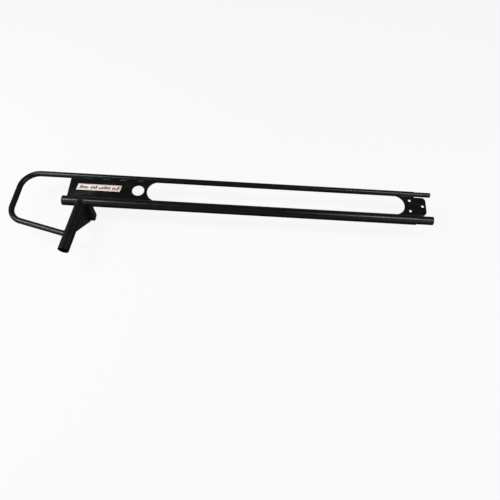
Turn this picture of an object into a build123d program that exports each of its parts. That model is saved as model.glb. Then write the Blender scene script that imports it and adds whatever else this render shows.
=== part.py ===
from build123d import *

import math
import os

# Front half of a truck rack's side rail, lying on its back with the labelled face up.
# +X runs along the rails from the hoop to the splice end, +Y from the main tube to the upper
# tube (up when the rack is on the truck) and +Z out of the labelled face (away from the truck).
# The origin is the middle of the footprint, on the plane of the lowest point.
# Stations along the rails are measured from the leg joint, where the leg socket's axis meets
# the main tube's axis. All sizes are in millimetres.

# Tubes
MAIN_D = 44.45
MAIN_WALL = 3.1
UPPER_D = 25.4
UPPER_WALL = 1.6
LEG_D = 48.3
LEG_WALL = 1.65
MAIN_SLEEVE_D = 38.1
MAIN_SLEEVE_WALL = 3.0
UPPER_SLEEVE_D = 22.1
UPPER_SLEEVE_WALL = 2.0
SLEEVE_GROOVE_WIDTH = 4.0
SLEEVE_GROOVE_DEPTH = 0.6
RAIL_SPACING = 137.5

# Stations along the rails
MAIN_START = -84.0
TUBE_END = 1510.0
SLEEVE_STICKOUT = 76.0
SLEEVE_INSERT = 90.0
WEB_START = -73.0
WEB_HOLE_X = 244.0
SLOT_START = 285.0
SLOT_END = 1465.0
BOLT_PAIR_X = 1489.0
NOSE_HOLE_X = 1546.5
SPLICE_END = 1562.0

# Plates
WEB_T = 3.2
WEB_HOLE_D = 55.0
SPLICE_T = 4.8
BOLT_HOLE_D = 13.0
BOLT_PAIR_SPACING = 56.0
HORN_TIP = 1.5
TONGUE_DROP = 5.0
TONGUE_UPPER_R = 18.0
TONGUE_LOWER_R = 25.0

# Hoop, with its corner points measured from the leg joint
HOOP_TOP_X = -291.5
HOOP_LOW_X = -307.0
HOOP_LOW_Y = -105.0
HOOP_TOP_R = 83.0
HOOP_LOW_R = 72.0
HOOP_END_DROP = 177.4

# Leg socket, raked towards the hoop
LEG_RAKE = 6.6
LEG_LENGTH = 254.0
LEG_STOP = 30.0
LEG_STOP_D = 44.0

# Cross-member socket, a rectangular tube
SOCKET_X = 63.5
SOCKET_Y = 38.1
SOCKET_WALL = 3.0
SOCKET_CORNER_R = 5.0
SOCKET_DEPTH = 138.0

# Pair of corner gussets between the two sockets, each side of the leg's own plane
GUSSET_T = 5.0
GUSSET_SPREAD = 28.0
GUSSET_SNIPE = 14.0
GUSSET_LEG_REACH = 148.0
GUSSET_SOCKET_REACH = 134.0
GUSSET_NOSE_TOP = 26.0
GUSSET_NOSE_TIP = 3.0

# End cap
CAP_HEAD_T = 4.0
CAP_HEAD_ROUND = 3.0
CAP_PLUG_LENGTH = 20.0
CAP_PLUG_GAP = 0.1

# Label
LABEL_LENGTH = 200.0
LABEL_HEIGHT = 33.0
LABEL_T = 0.4
LABEL_RAKE = 8.0
LABEL_X = 64.0
LABEL_RISE = 55.0

# Weld beads
BEAD_R = 4.0
SADDLE_BEAD = 3.5
SOCKET_BEAD_TOP = 7.0
STITCH_LENGTH = 32.0
STITCH_FIRST_X = 9.0
STITCH_PITCH = 80.7
STITCH_COUNT = 4
SPLICE_STITCH_X = 1470.0
SPLICE_STITCH_LENGTH = 60.0

# Positions worked out from the sizes above
MAIN_R = MAIN_D / 2
UPPER_R = UPPER_D / 2
LEG_R = LEG_D / 2
RAKE = math.radians(LEG_RAKE)
LEG_DIR = Vector(-math.sin(RAKE), -math.cos(RAKE), 0)
SPIGOT_TIP = TUBE_END + SLEEVE_STICKOUT
GAP_LOW = MAIN_R
GAP_HIGH = RAIL_SPACING - UPPER_R
GAP_R = (GAP_HIGH - GAP_LOW) / 2
GAP_MID = (GAP_HIGH + GAP_LOW) / 2
GUSSET_SEAT = math.sqrt(LEG_R**2 - (GUSSET_SPREAD / 2) ** 2)


def hoop_left():
    """X of the hoop's outermost point: the centre of its lower bend less the bend's outer radius."""
    up = math.atan2(RAIL_SPACING - HOOP_LOW_Y, HOOP_TOP_X - HOOP_LOW_X)
    end = LEG_DIR * HOOP_END_DROP
    along = math.atan2(end.Y - HOOP_LOW_Y, end.X - HOOP_LOW_X)
    half = (up - along) / 2
    centre = HOOP_LOW_X + HOOP_LOW_R / math.sin(half) * math.cos((up + along) / 2)
    return centre - HOOP_LOW_R - UPPER_R


JOINT_X = -(hoop_left() + SPIGOT_TIP) / 2
LEG_FOOT = LEG_LENGTH * math.cos(RAKE) + LEG_R * math.sin(RAKE)
JOINT_Y = (LEG_FOOT - RAIL_SPACING - UPPER_R) / 2
JOINT = Vector(JOINT_X, JOINT_Y, SOCKET_DEPTH)


def at(x, y, z=0.0):
    """A point given from the leg joint, in the part's frame."""
    return JOINT + Vector(x, y, z)


def rod(start, end, radius):
    """A solid round bar between two points."""
    line = end - start
    return Solid.make_cylinder(radius, line.length, Plane(origin=start, z_dir=line.normalized()))


def pipe(start, end, diameter, wall):
    """A straight tube between two points."""
    return rod(start, end, diameter / 2) - rod(start, end, diameter / 2 - wall)


def main_axis(extra=0.0):
    """The main tube's outside as a solid bar, made larger by extra."""
    return rod(at(MAIN_START - 20, 0), at(SPIGOT_TIP, 0), MAIN_R + extra)


def upper_axis():
    """The straight run of the upper tube as a solid bar."""
    return rod(at(HOOP_TOP_X + HOOP_TOP_R, RAIL_SPACING), at(TUBE_END, RAIL_SPACING), UPPER_R)


def leg_axis(extra=0.0):
    """The leg socket's outside as a solid bar, made larger by extra."""
    return rod(at(0, 0), JOINT + LEG_DIR * LEG_LENGTH, LEG_R + extra)


def slab(x0, x1, y0, y1, thickness):
    """A flat plate midway between the faces of the rails."""
    centre = at((x0 + x1) / 2, (y0 + y1) / 2)
    return Pos(centre) * Box(x1 - x0, y1 - y0, thickness)


def through_hole(x, y, diameter):
    """A bar for cutting a round hole through a plate between the rails."""
    return rod(at(x, y, -MAIN_D), at(x, y, MAIN_D), diameter / 2)


def tangent_run():
    """How far the slot's round end runs before its horns are cut off at their tip height."""
    return math.sqrt(GAP_R**2 - (GAP_R - HORN_TIP) ** 2)


def main_rail_tube():
    return pipe(at(MAIN_START, 0), at(TUBE_END, 0), MAIN_D, MAIN_WALL)


def upper_rail_tube():
    """The upper tube, bent into the hoop and notched onto the leg socket."""
    corners = [
        at(TUBE_END, RAIL_SPACING),
        at(HOOP_TOP_X, RAIL_SPACING),
        at(HOOP_LOW_X, HOOP_LOW_Y),
        JOINT + LEG_DIR * HOOP_END_DROP,
    ]
    path = FilletPolyline(*corners, radius=(HOOP_TOP_R, HOOP_LOW_R))
    section = Plane(origin=path @ 0, z_dir=path % 0)
    outside = sweep(section * Circle(UPPER_R), path=path)
    inside = sweep(section * Circle(UPPER_R - UPPER_WALL), path=path)
    return outside - inside - leg_axis()


def label_web_plate():
    """The plate under the label, with a round hole and the slot's concave end."""
    end = SLOT_START + GAP_R - tangent_run()
    plate = slab(WEB_START, end, GAP_LOW, GAP_HIGH, WEB_T)
    plate -= through_hole(SLOT_START + GAP_R, GAP_MID, 2 * GAP_R)
    return plate - through_hole(WEB_HOLE_X, GAP_MID, WEB_HOLE_D)


def splice_plate():
    """The bolting plate: its horns run along both tubes and its tongue reaches past them."""
    start = SLOT_END - GAP_R + tangent_run()
    plate = slab(start, TUBE_END, GAP_LOW, GAP_HIGH, SPLICE_T)
    tongue = slab(BOLT_PAIR_X, SPLICE_END, GAP_LOW, GAP_HIGH - TONGUE_DROP, SPLICE_T)
    upright = tongue.edges().filter_by(Axis.Z)
    tongue = fillet(upright.sort_by(lambda e: e.center().X - e.center().Y)[-1], TONGUE_LOWER_R)
    upright = tongue.edges().filter_by(Axis.Z)
    tongue = fillet(upright.sort_by(lambda e: e.center().X + e.center().Y)[-1], TONGUE_UPPER_R)
    plate += tongue
    plate -= through_hole(SLOT_END - GAP_R, GAP_MID, 2 * GAP_R)
    for side in (-1, 1):
        plate -= through_hole(BOLT_PAIR_X, GAP_MID + side * BOLT_PAIR_SPACING / 2, BOLT_HOLE_D)
    return plate - through_hole(NOSE_HOLE_X, GAP_MID, BOLT_HOLE_D)


def leg_socket_tube():
    """The tube that the leg slides into, notched over the main tube, with a step that stops the leg."""
    mouth = JOINT + LEG_DIR * LEG_LENGTH
    stop = JOINT + LEG_DIR * LEG_STOP
    tube = rod(JOINT, mouth, LEG_R) - rod(stop, mouth, LEG_R - LEG_WALL)
    return tube - rod(JOINT, stop, LEG_STOP_D / 2) - main_axis()


def socket_bar(extra=0.0, height=SOCKET_DEPTH):
    """The cross-member socket's outside as a solid bar, made larger by extra."""
    outline = RectangleRounded(SOCKET_X + 2 * extra, SOCKET_Y + 2 * extra, SOCKET_CORNER_R + extra)
    return Pos(JOINT_X, JOINT_Y, 0) * extrude(outline, height)


def cross_member_socket():
    """The rectangular tube that the cross member slides into, notched onto the main tube."""
    inner = RectangleRounded(
        SOCKET_X - 2 * SOCKET_WALL, SOCKET_Y - 2 * SOCKET_WALL, SOCKET_CORNER_R - SOCKET_WALL
    )
    bore = Pos(JOINT_X, JOINT_Y, 0) * extrude(inner, SOCKET_DEPTH)
    return socket_bar() - bore - main_axis() - leg_axis()


def corner_gusset(side):
    """One of the two triangular plates between the leg socket and the cross-member socket."""
    half = SOCKET_Y / 2
    outline = [
        (half - 2, GUSSET_SEAT + GUSSET_SNIPE),
        (half - 2, GUSSET_SOCKET_REACH),
        (GUSSET_NOSE_TOP, GUSSET_SOCKET_REACH),
        (GUSSET_LEG_REACH, GUSSET_SEAT + GUSSET_NOSE_TIP),
        (GUSSET_LEG_REACH, GUSSET_SEAT - 2),
        (half + GUSSET_SNIPE, GUSSET_SEAT - 2),
    ]
    normal = LEG_DIR.cross(Vector(0, 0, -1))
    middle = JOINT + normal * (side * (GUSSET_SPREAD - GUSSET_T) / 2)
    flat = Plane(origin=middle, x_dir=LEG_DIR, z_dir=normal)
    face = make_face(Polyline(*outline, close=True))
    plate = extrude(flat * face, GUSSET_T / 2, both=True)
    return plate - leg_axis() - socket_bar()


def splice_sleeve(y, diameter, wall):
    """A sleeve that joins the rail to its other half, with a relief groove inside the tube's mouth."""
    mouth = at(TUBE_END, y)
    sleeve = pipe(at(TUBE_END - SLEEVE_INSERT, y), at(SPIGOT_TIP, y), diameter, wall)
    return sleeve - pipe(at(TUBE_END - SLEEVE_GROOVE_WIDTH, y), mouth, diameter, SLEEVE_GROOVE_DEPTH)


def main_splice_sleeve():
    return splice_sleeve(0, MAIN_SLEEVE_D, MAIN_SLEEVE_WALL)


def upper_splice_sleeve():
    return splice_sleeve(RAIL_SPACING, UPPER_SLEEVE_D, UPPER_SLEEVE_WALL)


def main_rail_end_cap():
    """A plastic cap with a rounded head and a plug inside the tube."""
    head = rod(at(MAIN_START - CAP_HEAD_T, 0), at(MAIN_START, 0), MAIN_R)
    head = fillet(head.edges().sort_by(Axis.X)[0], CAP_HEAD_ROUND)
    plug_r = MAIN_R - MAIN_WALL - CAP_PLUG_GAP
    return head + rod(at(MAIN_START, 0), at(MAIN_START + CAP_PLUG_LENGTH, 0), plug_r)


def label():
    """A thin raked plate on the labelled face."""
    lean = LABEL_HEIGHT / 2 * math.tan(math.radians(LABEL_RAKE))
    x, y = LABEL_LENGTH / 2, LABEL_HEIGHT / 2
    outline = Polyline((-x - lean, -y), (x - lean, -y), (x + lean, y), (-x + lean, y), close=True)
    middle = at(LABEL_X, GAP_LOW + LABEL_RISE, WEB_T / 2)
    return Pos(middle) * extrude(make_face(outline), LABEL_T)


def bead(start, end, radius=BEAD_R):
    """A weld bead before it is cut back to its corner: a bar with round ends."""
    return rod(start, end, radius) + Pos(start) * Sphere(radius) + Pos(end) * Sphere(radius)


def stitches(y, thickness, centres, length):
    """Beads along one edge of a plate, on both of its faces."""
    beads = []
    run = length / 2 - BEAD_R
    for x in centres:
        for side in (-1, 1):
            z = side * thickness / 2
            beads.append(bead(at(x - run, y, z), at(x + run, y, z)))
    return beads


def web_stitch_centres():
    return [STITCH_FIRST_X + i * STITCH_PITCH for i in range(STITCH_COUNT)]


def cut_back(beads, *solids):
    """The part of each bead that lies outside the pieces it joins, on the bead's own side."""
    kept = []
    for piece in beads:
        for solid in solids:
            piece -= solid
        kept.append(max(piece.solids(), key=lambda s: s.volume))
    return Compound(children=kept)


def web_upper_welds(web):
    beads = stitches(GAP_HIGH, WEB_T, web_stitch_centres(), STITCH_LENGTH)
    return cut_back(beads, upper_axis(), web)


def web_lower_welds(web):
    beads = stitches(GAP_LOW, WEB_T, web_stitch_centres(), STITCH_LENGTH)
    return cut_back(beads, main_axis(), web)


def splice_upper_welds(plate):
    beads = stitches(GAP_HIGH, SPLICE_T, [SPLICE_STITCH_X], SPLICE_STITCH_LENGTH)
    return cut_back(beads, upper_axis(), plate)


def splice_lower_welds(plate):
    beads = stitches(GAP_LOW, SPLICE_T, [SPLICE_STITCH_X], SPLICE_STITCH_LENGTH)
    return cut_back(beads, main_axis(), plate)


def leg_saddle_weld():
    """The bead round the notch where the leg socket sits on the main tube."""
    ring = leg_axis(SADDLE_BEAD) & main_axis(SADDLE_BEAD)
    return ring - leg_axis() - main_axis() - socket_bar()


def cross_socket_weld():
    """The bead round the notch where the cross-member socket sits on the main tube."""
    ring = socket_bar(SADDLE_BEAD, SOCKET_DEPTH - SOCKET_BEAD_TOP) & main_axis(SADDLE_BEAD)
    return ring - socket_bar() - main_axis() - leg_axis(SADDLE_BEAD)


def hoop_end_weld():
    """The bead round the hoop's end on the leg socket."""
    end = JOINT + LEG_DIR * HOOP_END_DROP
    start = at(HOOP_LOW_X, HOOP_LOW_Y)
    ring = rod(start, end, UPPER_R + SADDLE_BEAD) & leg_axis(SADDLE_BEAD)
    return ring - rod(start, end, UPPER_R) - leg_axis()


def gusset_edge(along, depth, side):
    """A point on a gusset's outer face, from its run along the leg and its depth."""
    normal = LEG_DIR.cross(Vector(0, 0, -1))
    return JOINT + LEG_DIR * along + Vector(0, 0, -depth) + normal * (side * GUSSET_SPREAD / 2)


def gusset_leg_weld(side, gusset):
    start = SOCKET_Y / 2 + GUSSET_SNIPE + BEAD_R
    end = GUSSET_LEG_REACH - BEAD_R
    edge = bead(gusset_edge(start, GUSSET_SEAT, side), gusset_edge(end, GUSSET_SEAT, side))
    return cut_back([edge], leg_axis(), gusset)


def gusset_socket_weld(side, gusset):
    start = GUSSET_SEAT + GUSSET_SNIPE + BEAD_R
    end = GUSSET_SOCKET_REACH - BEAD_R
    along = (SOCKET_Y - side * GUSSET_SPREAD * math.sin(RAKE)) / 2 / math.cos(RAKE)
    edge = bead(gusset_edge(along, start, side), gusset_edge(along, end, side))
    return cut_back([edge], socket_bar(), gusset)


def save(name, shape):
    shape.label = name
    export_step(shape, f"parts/{name}.step")


def main():
    os.makedirs("parts", exist_ok=True)
    web = label_web_plate()
    splice = splice_plate()
    hoop_side = corner_gusset(-1)
    splice_side = corner_gusset(1)
    pieces = {
        "main_rail_tube": main_rail_tube(),
        "upper_rail_tube": upper_rail_tube(),
        "label_web_plate": web,
        "splice_plate": splice,
        "leg_socket_tube": leg_socket_tube(),
        "cross_member_socket": cross_member_socket(),
        "hoop_side_gusset": hoop_side,
        "splice_side_gusset": splice_side,
        "main_splice_sleeve": main_splice_sleeve(),
        "upper_splice_sleeve": upper_splice_sleeve(),
        "main_rail_end_cap": main_rail_end_cap(),
        "label": label(),
        "web_upper_welds": web_upper_welds(web),
        "web_lower_welds": web_lower_welds(web),
        "splice_upper_welds": splice_upper_welds(splice),
        "splice_lower_welds": splice_lower_welds(splice),
        "leg_saddle_weld": leg_saddle_weld(),
        "cross_socket_weld": cross_socket_weld(),
        "hoop_end_weld": hoop_end_weld(),
        "hoop_side_leg_weld": gusset_leg_weld(-1, hoop_side),
        "splice_side_leg_weld": gusset_leg_weld(1, splice_side),
        "hoop_side_socket_weld": gusset_socket_weld(-1, hoop_side),
        "splice_side_socket_weld": gusset_socket_weld(1, splice_side),
    }
    for name, shape in pieces.items():
        save(name, shape)
    print("leg joint at", JOINT)


main()
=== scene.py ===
import math
import random

import bmesh
import bpy
from mathutils import Matrix, Vector, geometry


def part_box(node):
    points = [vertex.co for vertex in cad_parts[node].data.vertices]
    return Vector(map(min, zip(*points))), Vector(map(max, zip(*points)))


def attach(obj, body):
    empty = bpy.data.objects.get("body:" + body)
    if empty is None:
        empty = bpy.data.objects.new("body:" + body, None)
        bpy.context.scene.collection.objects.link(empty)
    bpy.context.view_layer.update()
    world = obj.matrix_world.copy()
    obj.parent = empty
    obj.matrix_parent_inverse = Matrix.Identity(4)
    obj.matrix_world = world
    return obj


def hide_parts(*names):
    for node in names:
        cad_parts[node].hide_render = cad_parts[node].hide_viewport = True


# Looks of a truck rack's side rail. Shapes are given in millimetres from the leg joint, where the
# leg socket's axis meets the main tube's axis, and add_piece turns them into the frame's metres.

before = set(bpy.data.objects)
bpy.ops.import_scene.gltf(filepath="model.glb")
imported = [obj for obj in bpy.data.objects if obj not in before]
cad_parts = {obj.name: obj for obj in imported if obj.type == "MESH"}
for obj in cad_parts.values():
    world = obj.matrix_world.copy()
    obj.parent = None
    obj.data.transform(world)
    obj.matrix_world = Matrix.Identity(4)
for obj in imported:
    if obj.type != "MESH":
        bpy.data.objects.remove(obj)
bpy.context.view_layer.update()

MM = 0.001
X = Vector((1, 0, 0))
Y = Vector((0, 1, 0))
Z = Vector((0, 0, 1))
ORIGIN = Vector((0, 0, 0))

socket_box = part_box("cross_member_socket")
main_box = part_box("main_rail_tube")
JOINT = Vector(((socket_box[0].x + socket_box[1].x) / 2, (main_box[0].y + main_box[1].y) / 2,
                (main_box[0].z + main_box[1].z) / 2))

# Tubes
MAIN_R = 22.225
MAIN_WALL = 3.1
UPPER_R = 12.7
UPPER_WALL = 1.6
LEG_R = 24.15
LEG_WALL = 1.65
MAIN_SLEEVE_R = 19.05
MAIN_SLEEVE_WALL = 3.0
UPPER_SLEEVE_R = 11.05
UPPER_SLEEVE_WALL = 2.0
RAIL_SPACING = 137.5
MAIN_START = (main_box[0].x - JOINT.x) / MM
TUBE_END = (main_box[1].x - JOINT.x) / MM
SLEEVE_STICKOUT = 76.0
SLEEVE_INSERT = 90.0

# Plates
GAP_LOW = MAIN_R
GAP_HIGH = RAIL_SPACING - UPPER_R
GAP_R = (GAP_HIGH - GAP_LOW) / 2
GAP_MID = (GAP_HIGH + GAP_LOW) / 2
HORN_TIP = 1.5
WEB_T = 3.2
WEB_START = -73.0
WEB_HOLE_X = 244.0
WEB_HOLE_R = 27.5
SLOT_START = 285.0
SLOT_END = 1465.0
SPLICE_T = 4.8
SPLICE_END = 1562.0
BOLT_PAIR_X = 1489.0
BOLT_PAIR_SPACING = 56.0
NOSE_HOLE_X = 1546.5
BOLT_HOLE_R = 6.5
TONGUE_DROP = 5.0
TONGUE_UPPER_R = 18.0
TONGUE_LOWER_R = 25.0
PLATE_EDGE = 0.5

# Angles in degrees: an edge that turns more than this is shown sharp
TUBE_SMOOTH = 40
PLATE_SMOOTH = 25
WELD_SMOOTH = 80

# How finely round things are cut
MAIN_SEGMENTS = 128
LEG_SEGMENTS = 144
UPPER_SEGMENTS = 80
SLEEVE_SEGMENTS = 112
CAP_SEGMENTS = 112
BEND_STEPS = 40
SLOT_END_STEPS = 60
WEB_HOLE_STEPS = 96
BOLT_HOLE_STEPS = 48
TONGUE_LOWER_STEPS = 16
TONGUE_UPPER_STEPS = 14
SOCKET_CORNER_STEPS = 8
SOCKET_STEP = 2.0
LABEL_CORNER_STEPS = 6
DASH_CORNER_STEPS = 3

# Radius of the tubes' rims
MAIN_RIM = 0.6
RIM = 0.5

# Free end of a sleeve: the chamfer that leads the mating tube on, the easing at both of its
# edges, and the break at the bore
SLEEVE_LEAD = 1.4
SLEEVE_EASE = 0.1
SLEEVE_BREAK = 0.3

# Plate edges: where a rounded edge's middle lies, as a share of its radius, and a limit on how
# far a sharp corner moves when an outline is pulled in
EDGE_MIDDLE = 0.29
CORNER_LIMIT = 0.3

# Hoop: its two corners before they are rounded, their radii, and how far down the leg it ends
HOOP_TOP = Vector((-291.5, RAIL_SPACING, 0))
HOOP_LOW = Vector((-307.0, -105.0, 0))
HOOP_TOP_R = 83.0
HOOP_LOW_R = 72.0
HOOP_END_DROP = 177.4
BEND_OVAL = 0.03

# Leg socket
RAKE = math.radians(6.6)
LEG_DIR = Vector((-math.sin(RAKE), -math.cos(RAKE), 0))
LEG_ACROSS = Vector((math.cos(RAKE), -math.sin(RAKE), 0))
LEG_LENGTH = 254.0
LEG_STOP = 30.0
LEG_STOP_R = 22.0
HOOP_END = LEG_DIR * HOOP_END_DROP

# Cross-member socket
SOCKET_HALF_X = 31.75
SOCKET_HALF_Y = 19.05
SOCKET_WALL = 3.0
SOCKET_CORNER_R = 5.0
SOCKET_DEPTH = 138.0
SOCKET_FRONT_SLACK = 0.1

# Pair of corner gussets. The seat is the depth at which their outer faces meet the leg.
GUSSET_T = 5.0
GUSSET_SPREAD = 28.0
GUSSET_SNIPE = 14.0
GUSSET_LEG_REACH = 148.0
GUSSET_SOCKET_REACH = 134.0
GUSSET_NOSE_TOP = 26.0
GUSSET_NOSE_TIP = 3.0
GUSSET_SEAT = math.sqrt(LEG_R**2 - (GUSSET_SPREAD / 2) ** 2)
GUSSET_BITE = 0.3
GUSSET_EDGE = 0.6

# End cap. The points are (depth behind the foremost plane, radius), from the middle outwards. The
# face has a gate mark, a shallow dish and a raised rim. A round corner leads from it to the skirt.
CAP_HEAD_T = 4.0
CAP_PLUG_LENGTH = 20.0
CAP_PLUG_GAP = 0.1
CAP_FACE = ((0.9, 0.6), (0.35, 0.9), (0.3, 1.6), (0.55, 2.4), (0.6, 8.0), (0.55, 12.0),
            (0.5, 12.6), (0.05, 13.2), (0, 14.0), (0, 18.4), (0.15, 19.6))
CAP_SKIRT = ((3.4, 22.2), (3.75, 22.1), (3.9, 21.9), (4.0, 21.6))
CAP_ROUND = 3.0
CAP_ROUND_DEPTH = 2.85
CAP_ROUND_START = 19.2
CAP_STEP_R = 20.0

# Label
LABEL_LENGTH = 200.0
LABEL_HEIGHT = 33.0
LABEL_T = 0.4
LABEL_RAKE = math.radians(8.0)
LABEL_X = 64.0
LABEL_Y = GAP_LOW + 55.0
LABEL_MARGIN = 3.2
LABEL_CORNER_R = 2.0
LABEL_LINE = 1.5
LABEL_EDGE = 0.06
PRINT_ROOM = 0.1
PRINT_T = 0.05

# Dashes on the label, by their share of the height, in groups like words
TALL, SHORT, LOW = 0.92, 0.72, 0.52
DASH_GROUPS = ((TALL, SHORT, SHORT, LOW), (SHORT, SHORT, TALL),
               (LOW, SHORT, TALL, SHORT, SHORT), (SHORT, LOW, TALL))
DASH_WIDTH = 6.2
DASH_GAP = 2.3
DASH_SPACE = 7.4
DASH_REACH = 0.92
DASH_FOOT = -0.58
DASH_RISE = 1.35
DASH_LEAN = math.radians(14)
DASH_CORNER_R = 0.9

# Weld beads
BEAD_LEG = 4.2
BEAD_STEP = 0.6
BEAD_SWELLS = 3
RIPPLE_PITCH = 2.9
BEAD_ACROSS = 10
BEAD_CROWN = 0.24
BEAD_ROOT = 0.8
BEAD_SEAT = 0.02
BEAD_END_RUN = 0.9
BEAD_END_SIZE = 0.14
BEAD_END_GROWTH = 0.86
RIPPLE_HEIGHT = 0.28
RIPPLE_LAG = 0.45
TOE_HOLD = 0.2
SADDLE_LEG = 3.6
SADDLE_SWEEP = 118
CROSS_LEG = 3.5
CROSS_GAP_X = -2.0
CROSS_GAP_HALF = 26.0
HOOP_WELD_LEG = 3.4
GUSSET_WELD_START = 3.0
GUSSET_WELD_END = 1.0
STITCH_LENGTH = 32.0
STITCH_FIRST_X = 9.0
STITCH_PITCH = 80.7
STITCH_COUNT = 4
SPLICE_STITCH_X = 1470.0
SPLICE_STITCH_LENGTH = 60.0

# Camera, standing at the main tube's side and looking down at the labelled face
CAMERA_ELEVATION = math.radians(62.52)
CAMERA_YAW = math.radians(0.67)
CAMERA_ROLL = math.radians(2.66)
CAMERA_DISTANCE = 2226.9
CAMERA_AIM = Vector((771.8, -199.4, 0))
CAMERA_LENS = 37.02
CAMERA_SENSOR = 36.0

# Studio. HORIZON is the world's light as (height, level), where height runs from -1, straight
# down, to 1, straight up.
FLOOR_HALF = 30.0
FLOOR_GREY = 0.06
FLOOR_GLOW = 0.90
BACKDROP = 0.93
HORIZON = ((-0.08, 0.07), (0.02, 0.50), (0.16, 0.50), (0.45, 0.035))

# Lights: name, place, width, depth, power and aim, in metres and watts. No aim is straight down.
WALL = (3.0, 2.0, 37.0, ORIGIN)
LIGHTS = (
    ("softbox_left", (-1.9, -0.15, 2.2), 1.3, 0.5, 54.0),
    ("softbox_right", (1.35, -0.22, 2.2), 0.85, 0.5, 22.5),
    ("wall_left", (-2.8, -1.5, 1.7), *WALL),
    ("wall_right", (2.8, -1.5, 1.7), *WALL),
)

# Colours
COAT_BLACK = (0.0052, 0.0052, 0.0058)
COAT_DUST = (0.03, 0.03, 0.03)
COAT_SPECULAR = 0.29
CAP_DARK = (0.009, 0.009, 0.010)
CAP_LIGHT = (0.016, 0.016, 0.017)
LABEL_WHITE = (0.90, 0.855, 0.81)
LABEL_RED = (0.50, 0.045, 0.03)
LABEL_INK = (0.07, 0.009, 0.006)
LABEL_ROUGHNESS = 0.35


def place(point):
    """A point in millimetres from the leg joint, in the frame's metres."""
    return JOINT + Vector(point) * MM


# ---------------------------------------------------------------- camera, floor and light


def make_camera():
    e, a, r = CAMERA_ELEVATION, CAMERA_YAW, CAMERA_ROLL
    back = Vector((math.sin(a) * math.cos(e), -math.cos(a) * math.cos(e), math.sin(e)))
    level = (-back).cross(Z).normalized()
    upright = level.cross(-back)
    right = level * math.cos(r) + upright * math.sin(r)
    up = upright * math.cos(r) - level * math.sin(r)
    data = bpy.data.cameras.new("camera")
    data.lens = CAMERA_LENS
    data.sensor_width = CAMERA_SENSOR
    camera = bpy.data.objects.new("camera", data)
    bpy.context.scene.collection.objects.link(camera)
    turn = Matrix((right, up, back)).transposed().to_4x4()
    camera.matrix_world = Matrix.Translation(place(CAMERA_AIM + back * CAMERA_DISTANCE)) @ turn
    bpy.context.scene.camera = camera


def make_floor():
    """A pale lit table: mostly its own even light, so that shadows on it stay faint."""
    mesh = bpy.data.meshes.new("floor")
    half = FLOOR_HALF
    corners = [(-half, -half, 0), (half, -half, 0), (half, half, 0), (-half, half, 0)]
    mesh.from_pydata(corners, [], [(0, 1, 2, 3)])
    floor = bpy.data.objects.new("floor", mesh)
    bpy.context.scene.collection.objects.link(floor)
    surface = bpy.data.materials.new("floor")
    surface.use_nodes = True
    shader = surface.node_tree.nodes["Principled BSDF"]
    shader.inputs["Base Color"].default_value = (FLOOR_GREY, FLOOR_GREY, FLOOR_GREY, 1)
    shader.inputs["Roughness"].default_value = 0.9
    shader.inputs["Specular IOR Level"].default_value = 0.0
    shader.inputs["Emission Color"].default_value = (1.0, 1.0, 1.0, 1)
    shader.inputs["Emission Strength"].default_value = FLOOR_GLOW
    mesh.materials.append(surface)
    floor.visible_glossy = False
    floor.visible_diffuse = False


def make_world():
    """A pale studio as the camera sees it. Its light on the object is dim, most of it low down."""
    world = bpy.data.worlds.new("studio")
    bpy.context.scene.world = world
    world.use_nodes = True
    nodes, links = world.node_tree.nodes, world.node_tree.links
    nodes.clear()
    where = nodes.new("ShaderNodeTexCoord")
    split = nodes.new("ShaderNodeSeparateXYZ")
    links.new(where.outputs["Generated"], split.inputs[0])
    rise = nodes.new("ShaderNodeValToRGB")
    rise.color_ramp.interpolation = "EASE"
    rise.color_ramp.elements.new(0.5)
    rise.color_ramp.elements.new(0.6)
    for stop, (height, level) in zip(rise.color_ramp.elements, HORIZON):
        stop.position = (height + 1) / 2
        stop.color = (level, level, level, 1)
    share = nodes.new("ShaderNodeMapRange")
    share.inputs["From Min"].default_value = -1.0
    links.new(split.outputs["Z"], share.inputs["Value"])
    links.new(share.outputs["Result"], rise.inputs["Fac"])
    ray = nodes.new("ShaderNodeLightPath")
    seen = nodes.new("ShaderNodeMix")
    links.new(ray.outputs["Is Camera Ray"], seen.inputs["Factor"])
    links.new(rise.outputs["Color"], seen.inputs["A"])
    seen.inputs["B"].default_value = BACKDROP
    light = nodes.new("ShaderNodeBackground")
    links.new(seen.outputs["Result"], light.inputs["Color"])
    out = nodes.new("ShaderNodeOutputWorld")
    links.new(light.outputs[0], out.inputs["Surface"])


def make_softbox(name, place_at, width, depth, power, aim=None):
    """A rectangular light that faces the floor, or a point; places and sizes in metres."""
    data = bpy.data.lights.new(name, "AREA")
    data.shape = "RECTANGLE"
    data.size = width
    data.size_y = depth
    data.energy = power
    lamp = bpy.data.objects.new(name, data)
    lamp.location = place_at
    if aim is not None:
        lamp.rotation_euler = (Vector(aim) - lamp.location).to_track_quat("-Z", "Y").to_euler()
    lamp.visible_camera = False
    bpy.context.scene.collection.objects.link(lamp)


def make_studio():
    make_camera()
    make_floor()
    make_world()
    for light in LIGHTS:
        make_softbox(*light)
    bpy.context.scene.view_settings.view_transform = "Standard"


# ---------------------------------------------------------------- materials


# Places of the mix node's two colour inputs and its colour output
MIX_FIRST = 6
MIX_SECOND = 7
MIX_RESULT = 2


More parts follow.
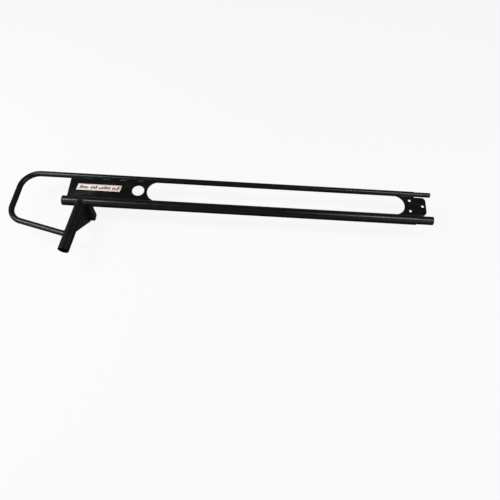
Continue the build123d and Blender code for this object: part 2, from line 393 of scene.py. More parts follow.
class Paint:
    """A procedural material around one Principled shader."""

    def __init__(self, name, roughness, specular):
        self.material = bpy.data.materials.new(name)
        self.material.use_nodes = True
        self.nodes = self.material.node_tree.nodes
        self.links = self.material.node_tree.links
        self.shader = self.nodes["Principled BSDF"]
        self.shader.inputs["Roughness"].default_value = roughness
        self.shader.inputs["Specular IOR Level"].default_value = specular
        self.where = self.nodes.new("ShaderNodeTexCoord").outputs["Object"]
        self.bump_chain = None

    def noise(self, size, detail=2.0, rough=0.5):
        """A noise whose features are about size metres across."""
        node = self.nodes.new("ShaderNodeTexNoise")
        node.inputs["Scale"].default_value = 1 / size
        node.inputs["Detail"].default_value = detail
        node.inputs["Roughness"].default_value = rough
        self.links.new(self.where, node.inputs["Vector"])
        return node.outputs["Fac"]

    def mapped(self, value, low, high, out_low, out_high):
        node = self.nodes.new("ShaderNodeMapRange")
        node.interpolation_type = "SMOOTHSTEP"
        names = ("From Min", "From Max", "To Min", "To Max")
        for name, number in zip(names, (low, high, out_low, out_high)):
            node.inputs[name].default_value = number
        self.links.new(value, node.inputs["Value"])
        return node.outputs["Result"]

    def blend(self, share, first, second):
        """A colour between two, each a tuple or a socket."""
        node = self.nodes.new("ShaderNodeMix")
        node.data_type = "RGBA"
        self.links.new(share, node.inputs["Factor"])
        for at, colour in ((MIX_FIRST, first), (MIX_SECOND, second)):
            if isinstance(colour, tuple):
                node.inputs[at].default_value = (*colour, 1)
            else:
                self.links.new(colour, node.inputs[at])
        return node.outputs[MIX_RESULT]

    def colour(self, socket):
        self.links.new(socket, self.shader.inputs["Base Color"])

    def roughness(self, socket):
        self.links.new(socket, self.shader.inputs["Roughness"])

    def bump(self, height, strength, distance):
        """Adds a layer of relief on top of those already there."""
        node = self.nodes.new("ShaderNodeBump")
        node.inputs["Strength"].default_value = strength
        node.inputs["Distance"].default_value = distance
        self.links.new(height, node.inputs["Height"])
        if self.bump_chain is not None:
            self.links.new(self.bump_chain, node.inputs["Normal"])
        self.bump_chain = node.outputs["Normal"]
        self.links.new(self.bump_chain, self.shader.inputs["Normal"])


def coat(name, rough_low, rough_high, peel):
    """Black powder coat: orange peel, fine grain, uneven gloss, and a little dust."""
    paint = Paint(name, (rough_low + rough_high) / 2, COAT_SPECULAR)
    dark = tuple(c * 0.8 for c in COAT_BLACK)
    tone = paint.blend(paint.mapped(paint.noise(0.11, 4), 0.35, 0.65, 0, 1), dark, COAT_BLACK)
    specks = paint.mapped(paint.noise(0.0016, 3, 0.7), 0.66, 0.80, 0, 1)
    paint.colour(paint.blend(specks, tone, COAT_DUST))
    paint.roughness(paint.mapped(paint.noise(0.045, 5, 0.6), 0.3, 0.7, rough_low, rough_high))
    paint.bump(paint.noise(0.009, 1), 0.5, 0.0002)
    paint.bump(paint.noise(0.0022, 1), peel, 0.00022)
    paint.bump(paint.noise(0.0007, 2), 0.22, 0.00006)
    return paint.material


def cap_plastic():
    """Moulded black plastic with a fine spark-eroded grain."""
    paint = Paint("cap_plastic", 0.5, 0.4)
    tone = paint.mapped(paint.noise(0.02, 3), 0.3, 0.7, 0, 1)
    paint.colour(paint.blend(tone, CAP_DARK, CAP_LIGHT))
    paint.roughness(paint.mapped(paint.noise(0.008, 4), 0.3, 0.7, 0.42, 0.58))
    paint.bump(paint.noise(0.0006, 2), 0.5, 0.00005)
    return paint.material


def label_film(name, base):
    """Printed vinyl: a soft gloss, slight yellowing and small wrinkles where it was rubbed down."""
    rough = LABEL_ROUGHNESS
    paint = Paint(name, rough, 0.5)
    paint.shader.inputs["Coat Weight"].default_value = 0.25
    paint.shader.inputs["Coat Roughness"].default_value = 0.2
    aged = tuple(c * k for c, k in zip(base, (0.96, 0.94, 0.89)))
    paint.colour(paint.blend(paint.mapped(paint.noise(0.03, 4), 0.35, 0.7, 0, 1), base, aged))
    paint.roughness(paint.mapped(paint.noise(0.012, 3), 0.3, 0.7, rough - 0.06, rough + 0.08))
    paint.bump(paint.noise(0.010, 2), 0.25, 0.00015)
    return paint.material


# ---------------------------------------------------------------- mesh building


def add_piece(name, verts, faces, material, nodes, smooth_below=TUBE_SMOOTH):
    """A shown piece from points in millimetres: smooth except where faces meet sharply."""
    mesh = bpy.data.meshes.new(name)
    mesh.from_pydata([place(v) for v in verts], [], faces)
    shape = bmesh.new()
    shape.from_mesh(mesh)
    bmesh.ops.recalc_face_normals(shape, faces=shape.faces)
    shape.to_mesh(mesh)
    shape.free()
    mesh.polygons.foreach_set("use_smooth", [True] * len(mesh.polygons))
    mesh.set_sharp_from_angle(angle=math.radians(smooth_below))
    mesh.materials.append(material)
    piece = bpy.data.objects.new(name, mesh)
    bpy.context.scene.collection.objects.link(piece)
    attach(piece, "root")
    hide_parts(*nodes)
    return piece


def joined(parts):
    """Several (verts, faces) as one."""
    verts, faces = [], []
    for more_verts, more_faces in parts:
        start = len(verts)
        verts += more_verts
        faces += [tuple(i + start for i in face) for face in more_faces]
    return verts, faces


def skin(rings, closed=False, ends=False):
    """Quads between rings of points. closed joins the last ring to the first, ends fills both."""
    count = len(rings[0])
    verts = [p for ring in rings for p in ring]
    faces = []
    for i in range(len(rings) - (0 if closed else 1)):
        j = (i + 1) % len(rings)
        for k in range(count):
            m = (k + 1) % count
            faces.append((i * count + k, i * count + m, j * count + m, j * count + k))
    if ends:
        faces.append(tuple(range(count)))
        faces.append(tuple(len(verts) - count + k for k in range(count)))
    return verts, faces


def arc(centre_x, centre_y, radius, start, end, steps):
    """Points along an arc in a plane, angles in degrees."""
    turns = [math.radians(start + (end - start) * i / steps) for i in range(steps + 1)]
    return [(centre_x + radius * math.cos(t), centre_y + radius * math.sin(t)) for t in turns]


def lip(station, outer, inner, edge, facing):
    """The rounded rim of a tube, from its outside round to its inside, as (station, radius)."""
    turns = [math.radians(angle) for angle in (0, 30, 60, 90)]
    bow = [(station - facing * edge * (1 - math.sin(t)), edge * (1 - math.cos(t))) for t in turns]
    behind = station - facing * 3 * edge
    outside = [(at, outer - depth) for at, depth in bow]
    inside = [(at, inner + depth) for at, depth in bow[::-1]]
    return [(behind, outer), *outside, *inside, (behind, inner)]


def revolve(origin, axis, profile, segments):
    """Rings round an axis from (station, radius) points. A station may be a function of the ray."""
    sideways = axis.cross(Z)
    rings = []
    for station, radius in profile:
        ring = []
        for k in range(segments):
            t = math.tau * k / segments
            ray = Z * math.cos(t) + sideways * math.sin(t)
            run = station(ray, radius) if callable(station) else station
            ring.append(origin + axis * run + ray * radius)
        rings.append(ring)
    return rings


# ---------------------------------------------------------------- tubes


def main_rail(coating):
    """A straight tube with a rounded rim at each end."""
    inner = MAIN_R - MAIN_WALL
    profile = lip(TUBE_END, MAIN_R, inner, MAIN_RIM, 1)
    profile += lip(MAIN_START, MAIN_R, inner, MAIN_RIM, -1)[::-1]
    verts, faces = skin(revolve(ORIGIN, X, profile, MAIN_SEGMENTS), closed=True)
    add_piece("rail_main_tube", verts, faces, coating, ["main_rail_tube"])


def bend(corner, before, after, radius, steps):
    """Stations round a bend in the hoop's plane: (point, direction, share of the bend)."""
    into = (corner - before).normalized()
    out = (after - corner).normalized()
    turn = math.atan2(into.cross(out).z, into.dot(out))
    start = corner - into * radius * math.tan(abs(turn) / 2)
    side = Z.cross(into) * math.copysign(1, turn)
    stations = []
    for i in range(steps + 1):
        angle = abs(turn) * i / steps
        point = start + into * radius * math.sin(angle) + side * radius * (1 - math.cos(angle))
        heading = into * math.cos(angle) + side * math.sin(angle)
        stations.append((point, heading, i / steps))
    return stations


def to_leg(point, heading):
    """Where a line from point along heading meets the leg socket's outside."""
    apart = point - LEG_DIR * point.dot(LEG_DIR)
    along = heading - LEG_DIR * heading.dot(LEG_DIR)
    a, b, c = along.dot(along), apart.dot(along), apart.dot(apart) - LEG_R**2
    return point + heading * ((-b - math.sqrt(b * b - a * c)) / a)


def hoop_route():
    """The upper tube's centre line from the splice end to the leg socket."""
    far = Vector((TUBE_END, RAIL_SPACING, 0))
    top = bend(HOOP_TOP, far, HOOP_LOW, HOOP_TOP_R, BEND_STEPS)
    low = bend(HOOP_LOW, HOOP_TOP, HOOP_END, HOOP_LOW_R, BEND_STEPS)
    return top, low


def upper_ring(point, heading, share, radius):
    """One ring of the upper tube, a little oval inside a bend."""
    squeeze = BEND_OVAL * math.sin(math.pi * share) ** 2
    side = Z.cross(heading)
    ring = []
    for k in range(UPPER_SEGMENTS):
        t = math.tau * k / UPPER_SEGMENTS
        across = side * math.cos(t) * (1 - squeeze) + Z * math.sin(t) * (1 + squeeze / 3)
        ring.append(point + across * radius)
    return ring


def upper_rail(coating):
    top, low = hoop_route()
    start = Vector((TUBE_END, RAIL_SPACING, 0))
    stations = top + low
    rings = []
    inner = UPPER_R - UPPER_WALL
    rim = lip(0, UPPER_R, inner, RIM, -1)
    for run, radius in rim[:5][::-1]:
        rings.append(upper_ring(start - X * run, -X, 0, radius))
    rings += [upper_ring(p, h, s, UPPER_R) for p, h, s in stations]
    heading = low[-1][1]
    for radius in (UPPER_R, inner):
        last = upper_ring(low[-1][0], heading, 0, radius)
        rings.append([to_leg(p, heading) for p in last])
    rings += [upper_ring(p, h, s, inner) for p, h, s in stations[::-1]]
    for run, radius in rim[5:][::-1]:
        rings.append(upper_ring(start - X * run, -X, 0, radius))
    verts, faces = skin(rings, closed=True)
    add_piece("rail_upper_tube", verts, faces, coating, ["upper_rail_tube"])


def notch(ray, radius):
    """How far along the leg its wall starts, where it sits over the main tube."""
    reach = MAIN_R**2 - (radius * ray.z) ** 2
    if reach <= 0:
        return 0.0
    return max(0.0, (math.sqrt(reach) + radius * ray.y) / -LEG_DIR.y)


def leg_socket(coating):
    inner = LEG_R - LEG_WALL
    profile = [(notch, LEG_R)] + lip(LEG_LENGTH, LEG_R, inner, RIM, 1)
    profile += [(LEG_STOP + RIM, inner), (LEG_STOP, inner), (LEG_STOP, LEG_STOP_R)]
    profile += [(notch, LEG_STOP_R)]
    verts, faces = skin(revolve(ORIGIN, LEG_DIR, profile, LEG_SEGMENTS), closed=True)
    add_piece("leg_socket", verts, faces, coating, ["leg_socket_tube"])


def socket_outline():
    """The rectangular socket's outline, cut finely enough to follow the tubes that notch it."""
    cx, cy = SOCKET_HALF_X - SOCKET_CORNER_R, SOCKET_HALF_Y - SOCKET_CORNER_R
    points = []
    for sign_x, sign_y, start in ((1, 1, 0), (-1, 1, 90), (-1, -1, 180), (1, -1, 270)):
        points += arc(sign_x * cx, sign_y * cy, SOCKET_CORNER_R, start, start + 90,
                      SOCKET_CORNER_STEPS)
    return divided(points, SOCKET_STEP)


def divided(points, longest):
    """The closed outline with its long runs cut into runs of about longest."""
    cut = []
    for (x0, y0), (x1, y1) in zip(points, points[1:] + points[:1]):
        pieces = max(1, round(math.hypot(x1 - x0, y1 - y0) / longest))
        cut += [(x0 + (x1 - x0) * i / pieces, y0 + (y1 - y0) * i / pieces) for i in range(pieces)]
    return cut


def socket_top(x, y):
    """The height of the socket's top edge: notched by the main tube, and by the leg in front."""
    top = -math.sqrt(MAIN_R**2 - y**2)
    off_leg = x * LEG_DIR.y - y * LEG_DIR.x
    if y < 0 and abs(off_leg) < LEG_R:
        top = min(top, -math.sqrt(LEG_R**2 - off_leg**2))
    return top


def cross_socket(coating):
    outer = socket_outline()
    inner_x, inner_y = SOCKET_HALF_X - SOCKET_WALL, SOCKET_HALF_Y - SOCKET_WALL
    inner = [(x * inner_x / SOCKET_HALF_X, y * inner_y / SOCKET_HALF_Y) for x, y in outer]
    rings = [[Vector((x, y, socket_top(x, y))) for x, y in outer]]
    for z, inset in lip(-SOCKET_DEPTH, 0, -SOCKET_WALL, RIM, -1):
        share = -inset / SOCKET_WALL
        rings.append([Vector((xo + (xi - xo) * share, yo + (yi - yo) * share, z))
                      for (xo, yo), (xi, yi) in zip(outer, inner)])
    rings.append([Vector((x, y, socket_top(x, y))) for x, y in inner])
    verts, faces = skin(rings, closed=True)
    add_piece("cross_socket", verts, faces, coating, ["cross_member_socket"])


def splice_sleeve(name, y, outer, wall, coating, node):
    """A sleeve whose free end has a chamfer that leads the mating tube on."""
    lead = SLEEVE_LEAD
    tip = TUBE_END + SLEEVE_STICKOUT
    inner = outer - wall
    back = TUBE_END - SLEEVE_INSERT
    profile = [(back, inner), (back, outer), (tip - 3 * lead, outer), (tip - lead, outer),
               (tip - lead * 0.9, outer - SLEEVE_EASE), (tip - SLEEVE_EASE, outer - lead * 0.8),
               (tip, outer - lead), (tip, inner + SLEEVE_BREAK), (tip - SLEEVE_BREAK, inner),
               (tip - 2, inner)]
    verts, faces = skin(revolve(Vector((0, y, 0)), X, profile, SLEEVE_SEGMENTS), closed=True)
    add_piece(name, verts, faces, coating, [node])


def end_cap(plastic):
    """A moulded cap: a head with a shallow dish and a gate mark, and the plug in the tube."""
    face = MAIN_START - CAP_HEAD_T
    plug = MAIN_R - MAIN_WALL - CAP_PLUG_GAP
    profile = [(face + depth, radius) for depth, radius in CAP_FACE]
    for angle in range(10, 91, 10):
        t = math.radians(angle)
        depth = CAP_ROUND - CAP_ROUND_DEPTH * math.cos(t)
        profile.append((face + depth, CAP_ROUND_START + CAP_ROUND * math.sin(t)))
    profile += [(face + depth, radius) for depth, radius in CAP_SKIRT]
    profile += [(MAIN_START, CAP_STEP_R), (MAIN_START, plug), (MAIN_START + CAP_PLUG_LENGTH, plug)]
    rings = revolve(ORIGIN, X, profile, CAP_SEGMENTS)
    verts, faces = skin(rings, ends=True)
    add_piece("rail_end_cap", verts, faces, plastic, ["main_rail_end_cap"])


# ---------------------------------------------------------------- plates


def pulled_in(loop, amount):
    """A closed outline moved to its left by amount, which is inwards for an anticlockwise one."""
    moved = []
    for i, (x, y) in enumerate(loop):
        before, after = loop[i - 1], loop[(i + 1) % len(loop)]
        first = Vector((x - before[0], y - before[1])).normalized()
        second = Vector((after[0] - x, after[1] - y)).normalized()
        left = Vector((-first.y - second.y, first.x + second.x)).normalized()
        stretch = max(CORNER_LIMIT, left.dot(Vector((-first.y, first.x))))
        moved.append((x + left.x * amount / stretch, y + left.y * amount / stretch))
    return moved


def plate(loops, thickness, edge, origin, along, across):
    """A flat plate with rounded edges. Its outline runs anticlockwise, and its holes clockwise."""
    normal = along.cross(across)
    half = thickness / 2
    middle = edge * EDGE_MIDDLE
    rim = [(edge, -half), (middle, -half + middle), (0, -half + edge),
           (0, half - edge), (middle, half - middle), (edge, half)]
    verts, faces = [], []
    tops = []
    for loop in loops:
        rings = []
        for amount, level in rim:
            flat = pulled_in(loop, amount)
            rings.append([origin + along * x + across * y + normal * level for x, y in flat])
        start = len(verts)
        more_verts, more_faces = skin(rings)
        verts += more_verts
        faces += [tuple(i + start for i in face) for face in more_faces]
        tops.append((start, len(loop), [Vector((x, y, 0)) for x, y in pulled_in(loop, edge)]))
    where = []
    for start, count, _ in tops:
        where += [(start + k, start + (len(rim) - 1) * count + k) for k in range(count)]
    for triangle in geometry.tessellate_polygon([flat for _, _, flat in tops]):
        faces.append(tuple(where[i][0] for i in triangle))
        faces.append(tuple(where[i][1] for i in triangle))
    return verts, faces


def round_hole(x, y, radius, steps):
    return arc(x, y, radius, 360, 0, steps)[:-1]


def horn_angle():
    """The slot's round end, from its middle to where its horns are cut off at their tips."""
    return math.degrees(math.asin((GAP_R - HORN_TIP) / GAP_R))


def web_plate(coating):
    horn = horn_angle()
    end = arc(SLOT_START + GAP_R, GAP_MID, GAP_R, 180 + horn, 180 - horn, SLOT_END_STEPS)
    outline = [(WEB_START, GAP_LOW), (end[0][0], GAP_LOW), *end]
    outline += [(end[-1][0], GAP_HIGH), (WEB_START, GAP_HIGH)]
    loops = [outline, round_hole(WEB_HOLE_X, GAP_MID, WEB_HOLE_R, WEB_HOLE_STEPS)]
    verts, faces = plate(loops, WEB_T, PLATE_EDGE, ORIGIN, X, Y)
    add_piece("web_plate", verts, faces, coating, ["label_web_plate"],
              PLATE_SMOOTH)


def splice(coating):
    horn = horn_angle()
    end = arc(SLOT_END - GAP_R, GAP_MID, GAP_R, horn, -horn, SLOT_END_STEPS)
    shoulder = GAP_HIGH - TONGUE_DROP
    low_r, high_r = TONGUE_LOWER_R, TONGUE_UPPER_R
    outline = [(end[-1][0], GAP_LOW)]
    outline += arc(SPLICE_END - low_r, GAP_LOW + low_r, low_r, -90, 0, TONGUE_LOWER_STEPS)
    outline += arc(SPLICE_END - high_r, shoulder - high_r, high_r, 0, 90, TONGUE_UPPER_STEPS)
    outline += [(TUBE_END, shoulder), (TUBE_END, GAP_HIGH), (end[0][0], GAP_HIGH), *end]
    loops = [outline, round_hole(NOSE_HOLE_X, GAP_MID, BOLT_HOLE_R, BOLT_HOLE_STEPS)]
    for side in (-1, 1):
        y = GAP_MID + side * BOLT_PAIR_SPACING / 2
        loops.append(round_hole(BOLT_PAIR_X, y, BOLT_HOLE_R, BOLT_HOLE_STEPS))
    verts, faces = plate(loops, SPLICE_T, PLATE_EDGE, ORIGIN, X, Y)
    add_piece("splice_tongue", verts, faces, coating, ["splice_plate"],
              PLATE_SMOOTH)


def socket_run(across):
    """How far along the leg the socket's front face is, at a distance across the leg."""
    return (SOCKET_HALF_Y - across * math.sin(RAKE)) / math.cos(RAKE)


def seated(point):
    """The point, lowered to just inside the leg's wall if it is further in."""
    across = point.dot(LEG_ACROSS)
    inside = LEG_R - GUSSET_BITE
    if math.hypot(across, point.z) < inside:
        point = Vector((point.x, point.y, -math.sqrt(inside**2 - across**2)))
    return point


def gusset(side, coating, word):
    """One of the two triangular plates behind the leg."""
    outer = GUSSET_SPREAD / 2
    near = min(socket_run(side * outer), socket_run(side * (outer - GUSSET_T)))
    outline = [(near, GUSSET_SEAT + GUSSET_SNIPE), (near + GUSSET_SNIPE, GUSSET_SEAT),
               (GUSSET_LEG_REACH, GUSSET_SEAT), (GUSSET_LEG_REACH, GUSSET_SEAT + GUSSET_NOSE_TIP),
               (GUSSET_NOSE_TOP, GUSSET_SOCKET_REACH), (near, GUSSET_SOCKET_REACH)]
    middle = LEG_ACROSS * (side * (outer - GUSSET_T / 2))
    verts, faces = plate([outline], GUSSET_T, GUSSET_EDGE, middle, LEG_DIR, -Z)
    verts = [seated(v) for v in verts]
    add_piece(f"gusset_{word}", verts, faces, coating, [f"{word}_gusset"],
              PLATE_SMOOTH)


# ---------------------------------------------------------------- label


def raked(x, y):
    """A point on the label, whose ends lean."""
    return x + y * math.tan(LABEL_RAKE), y


def raked_box(x0, x1, y0, y1):
    return [raked(x0, y0), raked(x1, y0), raked(x1, y1), raked(x0, y1)]


def rounded(loop, radius, steps):
    """An outline with its corners rounded."""
    points = []
    for i, corner in enumerate(loop):
        corner = Vector(corner)
        before = (Vector(loop[i - 1]) - corner).normalized()
        after = (Vector(loop[(i + 1) % len(loop)]) - corner).normalized()
        half = before.angle(after) / 2
        centre = corner + (before + after).normalized() * radius / math.sin(half)
        start = corner + before * radius / math.tan(half) - centre
        end = corner + after * radius / math.tan(half) - centre
        for k in range(steps + 1):
            turn = start.lerp(end, k / steps).normalized() * radius
            points.append(tuple(centre + turn))
    return points


def label_sheet(loops, z, thickness):
    """One layer of the label."""
    middle = Vector((LABEL_X, LABEL_Y, z + thickness / 2))
    return plate(loops, thickness, min(LABEL_EDGE, thickness / 3), middle, X, Y)


def label(white, red, ink):
    """A plain strip: a white edge, a red keyline, and slanted dashes in place of any lettering."""
    face = WEB_T / 2
    half_x, half_y = LABEL_LENGTH / 2, LABEL_HEIGHT / 2
    outline = raked_box(-half_x, half_x, -half_y, half_y)
    sheet = rounded(outline, LABEL_CORNER_R, LABEL_CORNER_STEPS)
    verts, faces = label_sheet([sheet], face, LABEL_T - PRINT_ROOM)
    add_piece("label_strip", verts, faces, white, ["label"], PLATE_SMOOTH)
    top = face + LABEL_T - PRINT_ROOM
    x, y = half_x - LABEL_MARGIN, half_y - LABEL_MARGIN
    inside = raked_box(-x + LABEL_LINE, x - LABEL_LINE, -y + LABEL_LINE, y - LABEL_LINE)
    verts, faces = label_sheet([raked_box(-x, x, -y, y), inside[::-1]], top, PRINT_T)
    add_piece("label_keyline", verts, faces, red, ["label"], PLATE_SMOOTH)
    dashes = label_dashes(x * DASH_REACH, y)
    verts, faces = joined([label_sheet([loop], top, PRINT_T) for loop in dashes])
    add_piece("label_dashes", verts, faces, ink, ["label"], PLATE_SMOOTH)


def label_dashes(reach, height):
    """Groups of slanted dashes, tall and short by turns, from -reach to reach along the label."""
    count = sum(len(group) for group in DASH_GROUPS)
    groups = len(DASH_GROUPS)
    total = count * DASH_WIDTH + (count - groups) * DASH_GAP + (groups - 1) * DASH_SPACE
    scale = 2 * reach / total
    loops = []
    left = -reach
    for group in DASH_GROUPS:
        for share in group:
            foot = height * DASH_FOOT
            head = foot + height * DASH_RISE * share
            lean = (head - foot) * math.tan(DASH_LEAN)
            right = left + DASH_WIDTH * scale
            corners = [(left, foot), (right, foot), (right + lean, head), (left + lean, head)]
            dash = [raked(px, py) for px, py in corners]
            loops.append(rounded(dash, DASH_CORNER_R, DASH_CORNER_STEPS))
            left += (DASH_WIDTH + DASH_GAP) * scale
        left += (DASH_SPACE - DASH_GAP) * scale
    return loops


# ---------------------------------------------------------------- weld beads


class Round:
    """The outside of a round tube, from its start onwards."""

    def __init__(self, origin, axis, radius):
        self.origin, self.axis, self.radius = origin, axis, radius

    def split(self, point):
        offset = point - self.origin
        along = offset.dot(self.axis)
        return along, offset - self.axis * along

    def outward(self, point):
        return self.split(point)[1].normalized()

    def snap(self, point):
        along, off = self.split(point)
        return self.origin + self.axis * along + off.normalized() * self.radius

    def clear(self, point):
        along, off = self.split(point)
        return max(off.length - self.radius, -along)


class Flat:
    """A flat face."""

    def __init__(self, origin, normal):
        self.origin, self.normal = origin, normal

    def outward(self, point):
        return self.normal

    def clear(self, point):
        return (point - self.origin).dot(self.normal)

    def snap(self, point):
        return point - self.normal * self.clear(point)


class Boxed:
    """The outside of the rectangular socket."""

    def outward(self, point):
        x = max(0.0, abs(point.x) - (SOCKET_HALF_X - SOCKET_CORNER_R))
        y = max(0.0, abs(point.y) - (SOCKET_HALF_Y - SOCKET_CORNER_R))
        if x + y < 1e-6:
            x = 1.0
        return Vector((math.copysign(x, point.x), math.copysign(y, point.y), 0)).normalized()

    def clear(self, point):
        x = abs(point.x) - (SOCKET_HALF_X - SOCKET_CORNER_R)
        y = abs(point.y) - (SOCKET_HALF_Y - SOCKET_CORNER_R)
        outside = math.hypot(max(x, 0.0), max(y, 0.0))
        return outside + min(max(x, y), 0.0) - SOCKET_CORNER_R

    def snap(self, point):
        return point - self.outward(point) * self.clear(point)


# The rails' surfaces start well before their first welds
BEFORE_WELDS = -200.0
MAIN_SIDE = Round(Vector((BEFORE_WELDS, 0, 0)), X, MAIN_R)
UPPER_SIDE = Round(Vector((BEFORE_WELDS, RAIL_SPACING, 0)), X, UPPER_R)
LEG_SIDE = Round(ORIGIN, LEG_DIR, LEG_R)


def even(points, step, closed):
    """The same line with evenly spaced points."""
    ends = points + points[:1] if closed else points
    lengths = [0.0]
    for a, b in zip(ends, ends[1:]):
        lengths.append(lengths[-1] + (b - a).length)
    count = max(4, round(lengths[-1] / step))
    spaced = []
    i = 0
    for k in range(count if closed else count + 1):
        run = lengths[-1] * k / count
        while i < len(lengths) - 2 and lengths[i + 1] < run:
            i += 1
        share = (run - lengths[i]) / max(1e-9, lengths[i + 1] - lengths[i])
        spaced.append(ends[i].lerp(ends[i + 1], min(1.0, share)))
    return spaced


def end_share(run, total, leg):
    """How full an open bead is: it grows from a small blob near either of its ends."""
    from_end = min(1.0, min(run, total - run) / (BEAD_END_RUN * leg))
    return math.sqrt(1 - (1 - from_end) ** 2) * BEAD_END_GROWTH + BEAD_END_SIZE


def bead_ring(root, out, toes, run, size, leg):
    """One ring of a bead: a point below its root, then its rippled crown from toe to toe."""
    ring = [root - out * BEAD_ROOT]
    for k in range(BEAD_ACROSS + 1):
        u = k / BEAD_ACROSS
        arch = 4 * u * (1 - u)
        beat = math.tau * (run / RIPPLE_PITCH - RIPPLE_LAG * arch)
        wave = math.cos(beat) + 0.35 * math.cos(2 * beat + 0.7)
        ripple = RIPPLE_HEIGHT * wave * math.sqrt(arch)
        rise = BEAD_CROWN * size * arch + ripple * min(1.0, size / leg)
        ring.append(toes[0].lerp(toes[1], u) + out * (rise - BEAD_SEAT))
    return ring


def bead(line, first, second, seed, leg=BEAD_LEG, closed=False):
    """A rippled bead along a corner between two surfaces. Its size varies a little on the way."""
    rng = random.Random(seed)
    swells = [(rng.uniform(5, 12), rng.uniform(0, math.tau), rng.uniform(0.03, 0.06))
              for _ in range(BEAD_SWELLS)]
    roots = even(line, BEAD_STEP, closed)
    count = len(roots)
    rings = []
    toes = [roots[0], roots[0]]
    for i, root in enumerate(roots):
        run = BEAD_STEP * i
        ahead = roots[(i + 1) % count] if closed else roots[min(i + 1, count - 1)]
        behind = roots[i - 1] if closed or i else roots[0]
        heading = (ahead - behind).normalized()
        size = leg * (1 + sum(h * math.sin(run / w + p) for w, p, h in swells))
        if not closed:
            size *= end_share(run, BEAD_STEP * (count - 1), leg)
        for n, (here, other) in enumerate(((first, second), (second, first))):
            step = here.outward(root).cross(heading).normalized() * size
            either = [here.snap(root + step), here.snap(root - step)]
            gain = [other.clear(p) - TOE_HOLD * (p - toes[n]).length for p in either]
            toes[n] = either[gain.index(max(gain))]
        out = (first.outward(root) + second.outward(root)).normalized()
        rings.append(bead_ring(root, out, toes, run, size, leg))
    return skin(rings, closed=closed, ends=not closed)


def stitches(y, tube, thickness, centres, length, seed):
    """Beads along one edge of a plate, on both of its faces."""
    parts = []
    for n, x in enumerate(centres):
        for side in (-1, 1):
            face = Flat(Vector((0, 0, side * thickness / 2)), Z * side)
            line = [Vector((x + end * length / 2, y, side * thickness / 2)) for end in (-1, 1)]
            parts.append(bead(line, face, tube, seed + 10 * n + side))
    return joined(parts)


def plate_welds(coating):
    web = [STITCH_FIRST_X + i * STITCH_PITCH for i in range(STITCH_COUNT)]
    web_row = (WEB_T, web, STITCH_LENGTH)
    splice_row = (SPLICE_T, [SPLICE_STITCH_X], SPLICE_STITCH_LENGTH)
    rows = (
        ("welds_web_upper", GAP_HIGH, UPPER_SIDE, *web_row, "web_upper_welds"),
        ("welds_web_lower", GAP_LOW, MAIN_SIDE, *web_row, "web_lower_welds"),
        ("welds_splice_upper", GAP_HIGH, UPPER_SIDE, *splice_row, "splice_upper_welds"),
        ("welds_splice_lower", GAP_LOW, MAIN_SIDE, *splice_row, "splice_lower_welds"),
    )
    for n, (name, y, tube, thickness, centres, length, node) in enumerate(rows):
        verts, faces = stitches(y, tube, thickness, centres, length, 100 * (n + 1))
        add_piece(name, verts, faces, coating, [node], WELD_SMOOTH)


def saddle_weld(coating):
    """Over the main tube's crown, round the notch of the leg socket."""
    line = []
    for degree in range(-SADDLE_SWEEP, SADDLE_SWEEP + 1):
        t = math.radians(degree)
        ray = Z * math.cos(t) + LEG_DIR.cross(Z) * math.sin(t)
        line.append(LEG_DIR * notch(ray, LEG_R) + ray * LEG_R)
    verts, faces = bead(line, LEG_SIDE, MAIN_SIDE, seed=7, leg=SADDLE_LEG)
    add_piece("weld_saddle", verts, faces, coating, ["leg_saddle_weld"],
              WELD_SMOOTH)


def cross_socket_weld(coating):
    """Round the notch of the rectangular socket, except where the leg is in the way."""
    outline = socket_outline()
    line = [Vector((x, y, -math.sqrt(MAIN_R**2 - y * y))) for x, y in outline]
    front = -SOCKET_HALF_Y + SOCKET_FRONT_SLACK
    start = next(i for i, p in enumerate(line) if p.y < front and p.x > CROSS_GAP_HALF)
    line = line[start:] + line[:start]
    line = [p for p in line if p.y >= front or abs(p.x - CROSS_GAP_X) >= CROSS_GAP_HALF]
    verts, faces = bead(line, Boxed(), MAIN_SIDE, seed=8, leg=CROSS_LEG)
    add_piece("weld_cross_socket", verts, faces, coating, ["cross_socket_weld"],
              WELD_SMOOTH)


def hoop_weld(coating):
    low = hoop_route()[1]
    point, heading, _ = low[-1]
    line = [to_leg(p, heading) for p in upper_ring(point, heading, 0, UPPER_R)]
    tube = Round(point, heading, UPPER_R)
    verts, faces = bead(line, tube, LEG_SIDE, seed=9, leg=HOOP_WELD_LEG, closed=True)
    add_piece("weld_hoop_end", verts, faces, coating, ["hoop_end_weld"],
              WELD_SMOOTH)


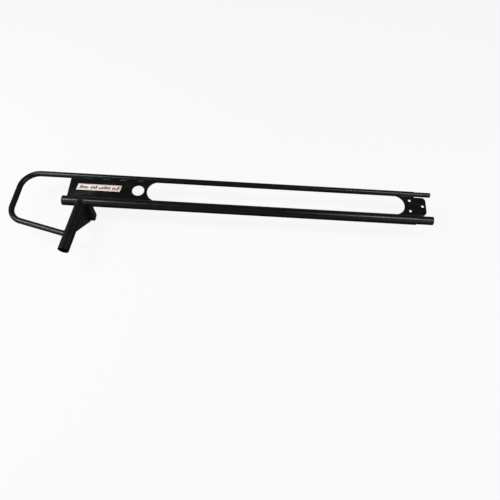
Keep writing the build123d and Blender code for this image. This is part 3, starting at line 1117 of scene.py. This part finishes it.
def gusset_welds(side, coating, word):
    """Beads on a gusset's outer face, along the leg and down the rectangular socket."""
    face = Flat(LEG_ACROSS * (side * GUSSET_SPREAD / 2), LEG_ACROSS * side)
    start = face.origin - Z * GUSSET_SEAT
    first = SOCKET_HALF_Y + GUSSET_SNIPE + GUSSET_WELD_START
    line = [start + LEG_DIR * run for run in (first, GUSSET_LEG_REACH - GUSSET_WELD_END)]
    verts, faces = bead(line, face, LEG_SIDE, seed=20 + side)
    node = f"{word}_leg_weld"
    add_piece(f"weld_{node}", verts, faces, coating, [node], WELD_SMOOTH)
    front = Flat(Vector((0, -SOCKET_HALF_Y, 0)), -Y)
    start = face.origin + LEG_DIR * socket_run(side * GUSSET_SPREAD / 2)
    first = GUSSET_SEAT + GUSSET_SNIPE + GUSSET_WELD_START
    line = [start - Z * drop for drop in (first, GUSSET_SOCKET_REACH - GUSSET_WELD_END)]
    verts, faces = bead(line, face, front, seed=30 + side)
    node = f"{word}_socket_weld"
    add_piece(f"weld_{node}", verts, faces, coating, [node], WELD_SMOOTH)


# ---------------------------------------------------------------- all together


def build():
    coating = coat("powder_coat", rough_low=0.25, rough_high=0.34, peel=0.6)
    weld_coating = coat("coated_weld", rough_low=0.28, rough_high=0.36, peel=0.3)
    main_rail(coating)
    upper_rail(coating)
    leg_socket(coating)
    cross_socket(coating)
    splice_sleeve("sleeve_main", 0, MAIN_SLEEVE_R, MAIN_SLEEVE_WALL, coating,
                  "main_splice_sleeve")
    splice_sleeve("sleeve_upper", RAIL_SPACING, UPPER_SLEEVE_R, UPPER_SLEEVE_WALL, coating,
                  "upper_splice_sleeve")
    web_plate(coating)
    splice(coating)
    for side, word in ((-1, "hoop_side"), (1, "splice_side")):
        gusset(side, coating, word)
        gusset_welds(side, weld_coating, word)
    end_cap(cap_plastic())
    label(label_film("label_white", LABEL_WHITE), label_film("label_red", LABEL_RED),
          label_film("label_ink", LABEL_INK))
    plate_welds(weld_coating)
    saddle_weld(weld_coating)
    cross_socket_weld(weld_coating)
    hoop_weld(weld_coating)


make_studio()
build()
